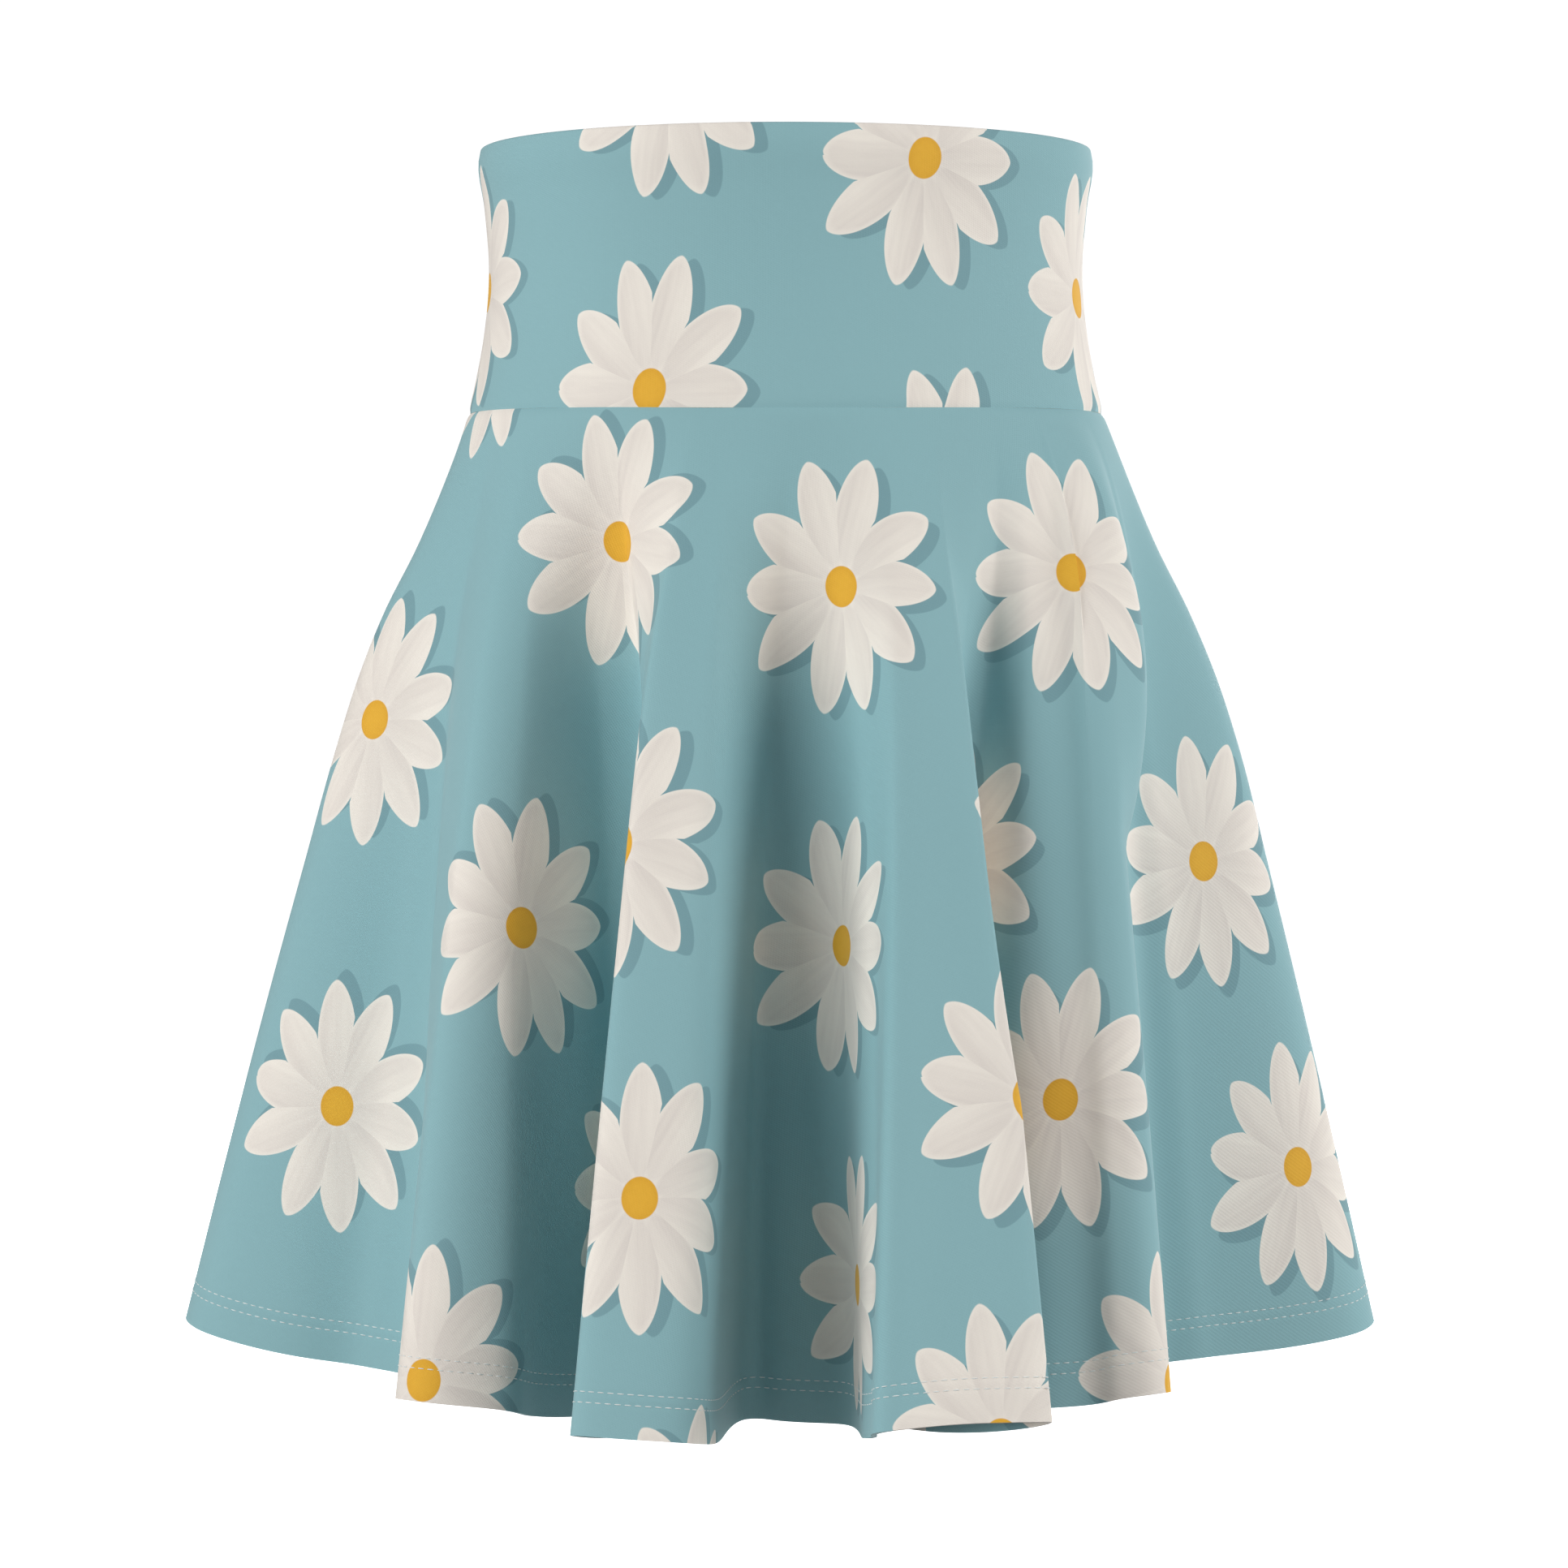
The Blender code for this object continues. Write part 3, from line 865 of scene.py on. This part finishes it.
def makePrintedKnit(name, paleness):
    # paleness: how far the print fades, 0 on the right side of the cloth
    material, shader, start = newMaterial(name, knitLook["roughness"])
    look = daisyPrint
    cloth = start.add("ShaderNodeUVMap", {"uv_map": "knit"})
    daisy = daisyParts(start, "daisy")
    cast = daisyParts(start, "daisyShadow")
    clouds = (noise(start, cloth, look["cloudScale"], 3.0) * look["cloudDepth"]).clamped()
    ground = mixColour(start, clouds, look["ground"], darker(look["ground"], look["groundDark"]))
    ground = mixColour(start, cast["petal"], ground, look["shadowGround"])
    colour = mixColour(start, daisy["petal"], ground, petalColour(start, daisy))
    disc = ((look["discRadius"] - daisy["reach"]) * look["discSharpness"] + 0.5).clamped()
    colour = mixColour(start, disc, colour, discColour(start, daisy))
    if paleness > 0.0:
        colour = mixColour(start, paleness, colour, look["reverse"])
    start.tree.links.new(colour.socket, shader.inputs["Base Color"])
    bump = start.add("ShaderNodeBump", {}, {
        "Strength": knitLook["bumpStrength"], "Distance": knitLook["bumpDepth"],
        "Height": knitRelief(start, cloth)})
    start.tree.links.new(bump.socket, shader.inputs["Normal"])
    shader.inputs["Sheen Weight"].default_value = knitLook["sheen"]
    shader.inputs["Sheen Roughness"].default_value = knitLook["sheenRoughness"]
    shader.inputs["Specular IOR Level"].default_value = knitLook["specular"]
    return material


def paleInside(piece):
    # the inner wall above the turned-up hem shows the reverse of the cloth
    mesh = piece.data
    loops = np.empty(len(mesh.loops) * 2)
    mesh.uv_layers["knit"].data.foreach_get("uv", loops)
    aboveHem = loops.reshape(-1, 2)[:, 1]
    starts = np.empty(len(mesh.polygons), int)
    mesh.polygons.foreach_get("loop_start", starts)
    inner = np.zeros(len(mesh.polygons), int)
    outerFaces = piece["outerFaces"]
    inner[outerFaces:2 * outerFaces] = 1
    inner[aboveHem[starts] < skirtLook["hemTurn"]] = 0
    mesh.polygons.foreach_set("material_index", inner)


def makeThread():
    look = stitchLook
    material, shader, start = newMaterial("sewing thread", look["roughness"])
    place = start.add("ShaderNodeTexCoord", {}, {}, 3)
    twist = noise(start, place, look["twistScale"], 2.0)
    colour = mixColour(start, twist, look["colour"], darker(look["colour"], look["colourDark"]))
    start.tree.links.new(colour.socket, shader.inputs["Base Color"])
    bump = start.add("ShaderNodeBump", {}, {
        "Strength": look["bumpStrength"], "Distance": look["bumpDepth"], "Height": twist})
    start.tree.links.new(bump.socket, shader.inputs["Normal"])
    shader.inputs["Sheen Weight"].default_value = look["sheen"]
    return material


printedKnit = makePrintedKnit("printed double knit", 0.0)
reverseKnit = makePrintedKnit("reverse of the double knit", 0.8)
thread = makeThread()
for piece in (skirtFront, skirtBack, bandFront, bandBack):
    piece.data.materials.append(printedKnit)
for piece in (skirtFront, skirtBack):
    piece.data.materials.append(reverseKnit)
    paleInside(piece)
for piece in (stitchesFront, stitchesBack):
    piece.data.materials.append(thread)
print("materials made")

# which piece stands for which part
for piece, node in ((skirtFront, "skirt_front"), (skirtBack, "skirt_back"),
                    (bandFront, "waistband_front"), (bandBack, "waistband_back")):
    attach(piece, "root")
    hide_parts(node)
for piece in (stitchesFront, stitchesBack):
    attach(piece, "root")

# floor, light and camera
studio = {
    "floorHeight": -0.60, "floorRadius": 14.0, "floorShade": 0.92, "floorGlow": 0.9,
    "backdropRadius": 15.0, "backdropGlow": 1.05,
    "ambient": 0.237,
    "key": {"place": (-2.15, -1.8, 0.4), "size": 1.9, "power": 63.0},
    "side": {"place": (2.7, -0.75, 0.3), "size": 1.9, "power": 62.0},
    "back": {"place": (0.7, 2.7, 0.5), "size": 2.4, "power": 52.0},
    "target": (0.0, 0.0, -0.2),
    "lens": 110.0,
    "cameraPlace": (-0.0007, -2.066, -0.1855),
    "cameraTilt": 89.069,
}


def paleFinish(piece, name, roughness, shade, glow):
    material, shader = newMaterial(name, roughness)[:2]
    shader.inputs["Base Color"].default_value = (shade, shade, shade, 1.0)
    shader.inputs["Emission Color"].default_value = (1.0, 1.0, 1.0, 1.0)
    shader.inputs["Emission Strength"].default_value = glow
    piece.data.materials.append(material)
    piece.visible_diffuse = False


def addFloor():
    bpy.ops.object.select_all(action="DESELECT")
    bpy.ops.mesh.primitive_circle_add(vertices=96, radius=studio["floorRadius"],
                                      fill_type="NGON", location=(0, 0, studio["floorHeight"]))
    floor = bpy.context.active_object
    floor.name = "paleFloor"
    paleFinish(floor, "pale floor", 0.9, studio["floorShade"], studio["floorGlow"])


def addBackdrop():
    # a pale dome that only the camera sees
    bpy.ops.object.select_all(action="DESELECT")
    bpy.ops.mesh.primitive_uv_sphere_add(segments=48, ring_count=24,
                                         radius=studio["backdropRadius"], location=(0, 0, 0))
    dome = bpy.context.active_object
    dome.name = "paleBackdrop"
    paleFinish(dome, "pale backdrop", 1.0, 0.0, studio["backdropGlow"])
    dome.visible_glossy = False
    dome.visible_shadow = False
    dome.visible_transmission = False


def addLight(name, place, size, power):
    light = bpy.data.lights.new(name, "AREA")
    light.shape = "SQUARE"
    light.size = size
    light.energy = power
    lamp = bpy.data.objects.new(name, light)
    bpy.context.collection.objects.link(lamp)
    lamp.location = place
    towards = Vector(studio["target"]) - Vector(place)
    lamp.rotation_euler = towards.to_track_quat("-Z", "Y").to_euler()


def addWorld():
    world = bpy.data.worlds.new("studio")
    world.use_nodes = True
    background = world.node_tree.nodes["Background"]
    background.inputs["Color"].default_value = (1.0, 1.0, 1.0, 1.0)
    background.inputs["Strength"].default_value = studio["ambient"]
    bpy.context.scene.world = world
    bpy.context.scene.view_settings.view_transform = "Standard"


def addCamera():
    data = bpy.data.cameras.new("camera")
    data.lens = studio["lens"]
    data.sensor_width = 36.0
    camera = bpy.data.objects.new("camera", data)
    bpy.context.collection.objects.link(camera)
    camera.location = studio["cameraPlace"]
    camera.rotation_euler = (math.radians(studio["cameraTilt"]), 0.0, 0.0)
    bpy.context.scene.camera = camera


addFloor()
addBackdrop()
for lamp in ("key", "side", "back"):
    addLight(lamp + " light", **studio[lamp])
addWorld()
addCamera()
print("studio set")
